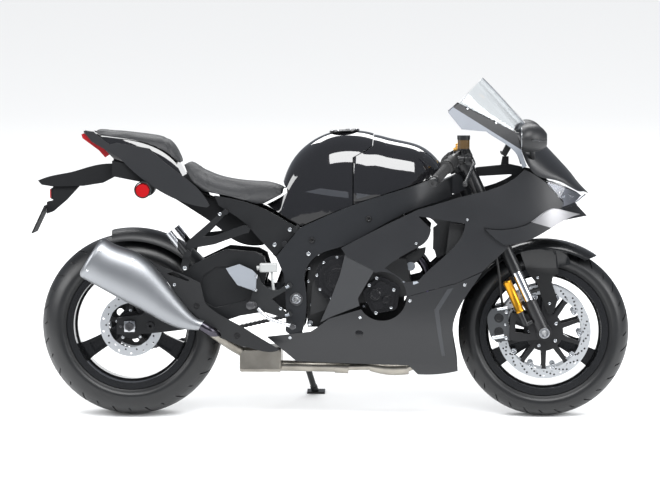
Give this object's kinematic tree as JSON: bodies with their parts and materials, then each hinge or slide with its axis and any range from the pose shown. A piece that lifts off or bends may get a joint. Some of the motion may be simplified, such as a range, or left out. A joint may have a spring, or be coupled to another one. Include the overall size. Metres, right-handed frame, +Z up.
{
  "type": "sport motorcycle",
  "caption": "Fully faired sport motorcycle leaning on its side stand, with clip-on bars, three-spoke wheels, single side silencer, two-piece seat and number-plate hanger.",
  "frame": {"origin": "on the floor, under the middle of the machine's bounding box", "axes": "+X towards the front wheel, +Y towards the rider's left, +Z up from the floor"},
  "size_m": [2.1006, 0.7612, 1.1763],
  "materials": {
    "gloss_black_paint": "gloss clear coat",
    "charcoal_panel": "satin",
    "matte_black_plastic": "matte",
    "textured_grey_plastic": "textured",
    "frame_metal": "satin",
    "black_metal": "satin",
    "engine_metal": "cast, painted",
    "silver_cast": "cast",
    "brushed_silencer": "brushed",
    "exhaust_steel": "heat tinted",
    "steel": "ground",
    "chrome": "hard chrome",
    "gold_anodised": "anodised",
    "rubber": "matte",
    "tyre_rubber": "matte",
    "seat_vinyl": "grained vinyl",
    "clear_screen": "clear",
    "lamp_lens": "clear",
    "red_lens": "translucent red",
    "display": "gloss",
    "radiator_fins": "painted"
  },
  "bodies": {
    "chassis": {"main_frame": "frame_metal", "subframe": "black_metal", "engine": "engine_metal", "engine_covers": "black_metal", "swingarm": "black_metal", "axles": "steel", "rear_caliper": "black_metal", "rear_shock": "steel", "drive_chain": "steel", "radiator": "radiator_fins", "exhaust_pipes": "exhaust_steel", "silencer": "brushed_silencer", "silencer_shield": "matte_black_plastic", "fuel_tank": "gloss_black_paint", "airbox_cover": "gloss_black_paint", "rider_seat": "seat_vinyl", "pillion_seat": "seat_vinyl", "tail_center": "gloss_black_paint", "tail_panels": "charcoal_panel", "undertray": "matte_black_plastic", "tail_light": "red_lens", "plate_hanger": "matte_black_plastic", "side_reflectors": "red_lens", "upper_fairing": "charcoal_panel", "lower_fairing": "charcoal_panel", "engine_guards": "textured_grey_plastic", "nose_cowl": "charcoal_panel", "cowl_wings": "charcoal_panel", "windscreen": "clear_screen", "headlights": "lamp_lens", "winglets": "gloss_black_paint", "mirrors": "matte_black_plastic", "fairing_stay": "black_metal", "dash": "display", "footrests": "silver_cast", "pillion_footrests": "black_metal", "brake_reservoir": "matte_black_plastic", "rear_hugger": "matte_black_plastic"},
    "steering": {"fork_clamps": "black_metal", "fork_sliders": "chrome", "fork_reservoirs": "gold_anodised", "front_axle": "steel", "front_calipers": "silver_cast", "front_fender": "charcoal_panel", "handlebars": "rubber", "hand_controls": "black_metal", "brake_hoses": "rubber"},
    "front_wheel": {"front_tyre": "tyre_rubber", "front_rim": "black_metal", "front_discs": "steel"},
    "rear_wheel": {"rear_tyre": "tyre_rubber", "rear_rim": "black_metal", "rear_disc": "steel", "rear_sprocket": "steel"},
    "stand": {"side_stand": "black_metal"}
  },
  "joints": [
    {"name": "steering", "type": "hinge", "parent": "chassis", "child": "steering", "pos_m": [0.5107, -0.03033, 0.72949], "axis": [-0.4226, 0.1574, 0.8925], "range_deg": [-27, 27]},
    {"name": "front_wheel_spin", "type": "hinge", "parent": "steering", "child": "front_wheel", "pos_m": [0.75043, -0.10672, 0.29628], "axis": [0, 0.9848, -0.1736], "continuous": true},
    {"name": "rear_wheel_spin", "type": "hinge", "parent": "chassis", "child": "rear_wheel", "pos_m": [-0.69957, -0.10306, 0.31699], "axis": [0, 0.9848, -0.1736], "continuous": true},
    {"name": "side_stand_fold", "type": "hinge", "parent": "chassis", "child": "stand", "pos_m": [-0.12157, 0.03649, 0.23308], "axis": [0.1095, 0.9121, 0.395], "range_deg": [0, 98.9]}
  ]
}
